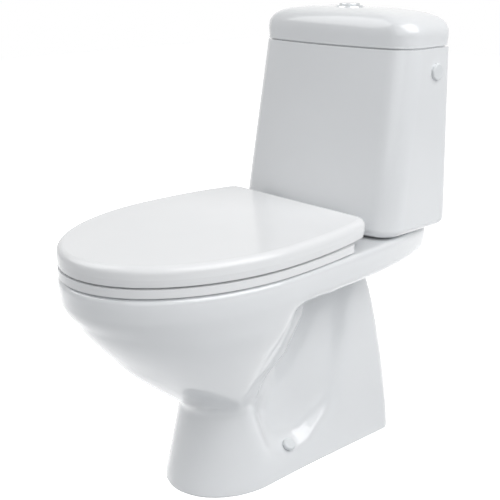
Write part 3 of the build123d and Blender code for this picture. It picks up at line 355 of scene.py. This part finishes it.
def relaxed(points, quads, share, rounds, back=0.0):
    """Each round draws every point towards the mean of its neighbours by its share of the
    way, and then pushes it out again by the part called back, which keeps the volume."""
    first = quads.ravel()
    second = np.roll(quads, -1, axis=1).ravel()
    size = len(points)
    count = np.bincount(first, minlength=size)[:, None]
    ways = (1.0, -back) if back else (1.0,)
    for way in ways * rounds:
        total = [np.bincount(first, points[second, k], size) for k in range(3)]
        mean = np.stack(total, axis=1) / count
        points = points + (mean - points) * share[:, None] * way
    return points


def outward(points, quads):
    """Unit normals at the points: the mean of the normals of the quads round each."""
    corners = points[quads]
    faces = np.cross(corners[:, 2] - corners[:, 0], corners[:, 3] - corners[:, 1])
    each = np.repeat(faces, 4, axis=0)
    total = [np.bincount(quads.ravel(), each[:, k], len(points)) for k in range(3)]
    total = np.stack(total, axis=1)
    smallest = 1e-12
    return total / np.maximum(np.linalg.norm(total, axis=1), smallest)[:, None]


def sharp_edge(points, quads):
    """Draw the rear face of the bowl out flat to its edge, and in behind the edge as steeply
    as its height says, as far as the bottom of the gorge."""
    side, y, z = np.abs(points[:, 0]) / MM, points[:, 1] / MM, points[:, 2] / MM
    level, *rest = np.array(bowl_edge)[::-1].T
    back, out, face_y, face_out = (np.interp(z, level, column) for column in rest)
    facing = outward(points, quads)[:, 0] * np.sign(points[:, 0])
    lowest, highest = edge_levels
    skin = (facing > least_facing) & (side > least_side) & (z > lowest) & (z < highest)
    face_out = face_out - face_inset
    face = face_out + (out - face_out) * (y - face_y) / (back - face_y)
    limit = out - np.interp(z, *np.array(steepness).T) * (y - back)
    gorge_y = np.interp(z, *np.array(gorge_line).T)
    flat = np.clip(face, side, side + most_out)
    steep = np.clip(limit, side - most_in, side + most_out)
    drawn = np.where(skin & (y > face_y) & (y <= back), flat, side)
    drawn = np.where(skin & (y > back) & (y < gorge_y), steep, drawn)
    return np.column_stack([np.sign(points[:, 0]) * drawn * MM, points[:, 1:]])


def away_from_edge(points):
    """0 along the rear edge of the bowl, 1 well beside it and where the edge has faded."""
    y, z = points[:, 1] / MM, points[:, 2] / MM
    level, back = np.array(bowl_edge)[::-1, :2].T
    beside = np.abs(y - np.interp(z, level, back))
    return np.where(z > edge_fades, ramp(beside, edge_kept, edge_free), 1.0)


def ware_softness(points):
    """How soft the ware is at a place: 0 where an edge stays crisp, 1 where it is rounded.
    Each pair of numbers is where a soft part begins or ends, in metres."""
    side = np.abs(points[:, 0])
    y, z = points[:, 1], points[:, 2]
    # the hollow in each side of the foot
    length = ramp(y, -0.11, -0.08) * (1 - ramp(y, 0.205, 0.235))
    height = ramp(z, 0.015, 0.03) * (1 - ramp(z, 0.335, 0.352))
    hollow = ramp(side, 0.02, 0.04) * length * height
    # the edge under the band of the rim, all round the outside
    band = 1 - ramp(np.abs(z - band_level), 0.006, 0.018)
    band = band * ramp(np.hypot(side, y), 0.1, 0.12)
    # the neck, at the front of the foot
    neck = (1 - ramp(np.abs(z - neck_level), 0.05, 0.09)) * ramp(-y, 0.03, 0.06)
    return np.clip(np.maximum.reduce([hollow, band, neck]), 0, 1)


def heel_line(z):
    """How far back the foot may reach at a height: round at the floor, free above."""
    round_part = np.clip(heel_radius - z, 0, heel_radius)
    back = heel_back - heel_radius + np.sqrt(heel_radius**2 - round_part**2)
    return np.where(z < heel_radius, back, np.inf)


def cut_at_floor(mesh):
    """Cut away what lies under the floor and close the cut with flat faces."""
    cut = bmesh.new()
    cut.from_mesh(mesh)
    all_of_it = cut.verts[:] + cut.edges[:] + cut.faces[:]
    bmesh.ops.bisect_plane(
        cut, geom=all_of_it, plane_co=(0, 0, 0), plane_no=(0, 0, -1), clear_outer=True
    )
    sole = [edge for edge in cut.edges if edge.is_boundary]
    bmesh.ops.triangle_fill(cut, edges=sole, use_beauty=True)
    bmesh.ops.recalc_face_normals(cut, faces=cut.faces)
    cut.to_mesh(mesh)
    cut.free()


def glazed_ware():
    """The pan as it leaves the kiln: its solids as one skin, even, with glaze-soft edges."""
    names = [n for n in slots if slots[n] == "vitreous_china" and not n.startswith("cistern")]
    points, quads = even_skin(solids_as_one(names), ware_spacing)
    points = relaxed(points, quads, np.full(len(points), pull), even_rounds, even_back)
    points = relaxed(points, quads, pull * ware_softness(points), soft_rounds)
    points = sharp_edge(points, quads)
    softness = pull * ware_softness(points) * away_from_edge(points)
    points = relaxed(points, quads, softness, edge_rounds)
    points = relaxed(points, quads, pull * ware_softness(points), last_rounds)
    points[:, 1] = np.minimum(points[:, 1], heel_line(points[:, 2]))
    mesh = bpy.data.meshes.new("glazed_ware")
    mesh.from_pydata(points, [], quads.tolist())
    cut_at_floor(mesh)
    mesh.polygons.foreach_set("use_smooth", np.ones(len(mesh.polygons), bool))
    mesh.materials.append(china)
    piece = bpy.data.objects.new("glazed_ware", mesh)
    bpy.context.scene.collection.objects.link(piece)
    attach(piece, "pan")
    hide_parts(*names)


glazed_ware()

# ------------------------------------------------------------------ floor, light, camera
white = (1, 1, 1, 1)
pale_blue = (0.93, 0.96, 1.0, 1.0)
floor_glow = 0.82  # light of its own that the floor has where it is seen
floor_reach = 6  # from the middle to each side of the floor
floor_corners = 9  # of its net, along each side
floor_level = -0.0005  # just under the foot
sky_light, paper_light = 0.13, 1.0  # what lights the object, and what is seen behind it
lit_place = Vector((0, 0, 0.35))  # where every lamp is turned to


def seen_directly(tree):
    """1 for a ray from the eye, from a mirror or through a clear thing, 0 for any other."""
    path = add_node(tree, "ShaderNodeLightPath").outputs
    most = {"operation": "MAXIMUM"}
    eye = add_node(
        tree, "ShaderNodeMath", most, i0=path["Is Camera Ray"], i1=path["Is Glossy Ray"]
    )
    clear = path["Is Transmission Ray"]
    return add_node(tree, "ShaderNodeMath", most, i0=eye.outputs[0], i1=clear).outputs[0]


def studio_white():
    """White paper where it is seen, a grey cloth where it only lights the object."""
    material, tree, shader = new_material("studio_white")
    set_shader(shader, Roughness=0.9, Emission_Color=white)
    seen = seen_directly(tree)
    tree.links.new(mixed(tree, seen, "#c0c2c4", "#f4f4f4"), shader.inputs["Base Color"])
    glow = add_node(tree, "ShaderNodeMath", {"operation": "MULTIPLY"}, i0=seen, i1=floor_glow)
    tree.links.new(glow.outputs[0], shader.inputs["Emission Strength"])
    return material


def studio_floor():
    """A flat floor of even quads."""
    across = np.linspace(-floor_reach, floor_reach, floor_corners)
    x, y = np.meshgrid(across, across)
    points = np.stack([x, y, np.full_like(x, floor_level)], axis=-1)
    index = np.arange(x.size).reshape(x.shape)
    quads = [index[:-1, :-1], index[:-1, 1:], index[1:, 1:], index[1:, :-1]]
    quads = np.stack(quads, axis=-1).reshape(-1, 4)
    mesh = bpy.data.meshes.new("studio_floor")
    mesh.from_pydata(points.reshape(-1, 3), [], quads.tolist())
    mesh.polygons.foreach_set("use_smooth", np.ones(len(quads), bool))
    mesh.materials.append(studio_white())
    floor = bpy.data.objects.new("studio_floor", mesh)
    bpy.context.scene.collection.objects.link(floor)
    return floor


def studio_sky():
    """A faint cool light from all round, with white paper in its place where it is seen."""
    world = bpy.data.worlds.new("studio")
    bpy.context.scene.world = world
    world.use_nodes = True
    tree = world.node_tree
    tree.nodes.clear()
    soft = add_node(tree, "ShaderNodeBackground", None, Color=pale_blue, Strength=sky_light)
    paper = add_node(tree, "ShaderNodeBackground", None, Color=white, Strength=paper_light)
    sky = add_node(
        tree,
        "ShaderNodeMixShader",
        None,
        i0=seen_directly(tree),
        i1=soft.outputs[0],
        i2=paper.outputs[0],
    )
    add_node(tree, "ShaderNodeOutputWorld", None, Surface=sky.outputs[0])


def softbox(name, place, size, power):
    """A square soft box at a place, turned to the object."""
    data = bpy.data.lights.new(name, "AREA")
    data.shape = "RECTANGLE"
    data.size = size
    data.size_y = size
    data.energy = power
    body = bpy.data.objects.new(name, data)
    body.location = place
    body.rotation_euler = (lit_place - Vector(place)).to_track_quat("-Z", "Y").to_euler()
    bpy.context.scene.collection.objects.link(body)


studio_floor()
studio_sky()
softbox("key_softbox", (2.2, 0.4, 2.6), size=3.0, power=80)
softbox("left_softbox", (-1.45, -1.45, 2.6), size=2.4, power=32)
softbox("front_softbox", (2.0, -2.0, 1.8), size=2.4, power=12)

lens_mm, sensor_mm = 65.95, 36
shift_right, shift_up = -0.0049, 0.0238
distance = 1.53846
azimuth = math.radians(46.043)  # from the front, towards the right
elevation = math.radians(18.729)
target = Vector((-0.0069, 0.03358, 0.35638))  # near the middle of the object
away = Vector(
    (
        math.sin(azimuth) * math.cos(elevation),
        -math.cos(azimuth) * math.cos(elevation),
        math.sin(elevation),
    )
)
camera_data = bpy.data.cameras.new("camera")
camera_data.lens = lens_mm
camera_data.sensor_width = sensor_mm
camera_data.shift_x = shift_right
camera_data.shift_y = shift_up
camera = bpy.data.objects.new("camera", camera_data)
camera.location = target + away * distance
camera.rotation_euler = (-away).to_track_quat("-Z", "Y").to_euler()
bpy.context.scene.collection.objects.link(camera)
bpy.context.scene.camera = camera
bpy.context.scene.view_settings.view_transform = "Standard"
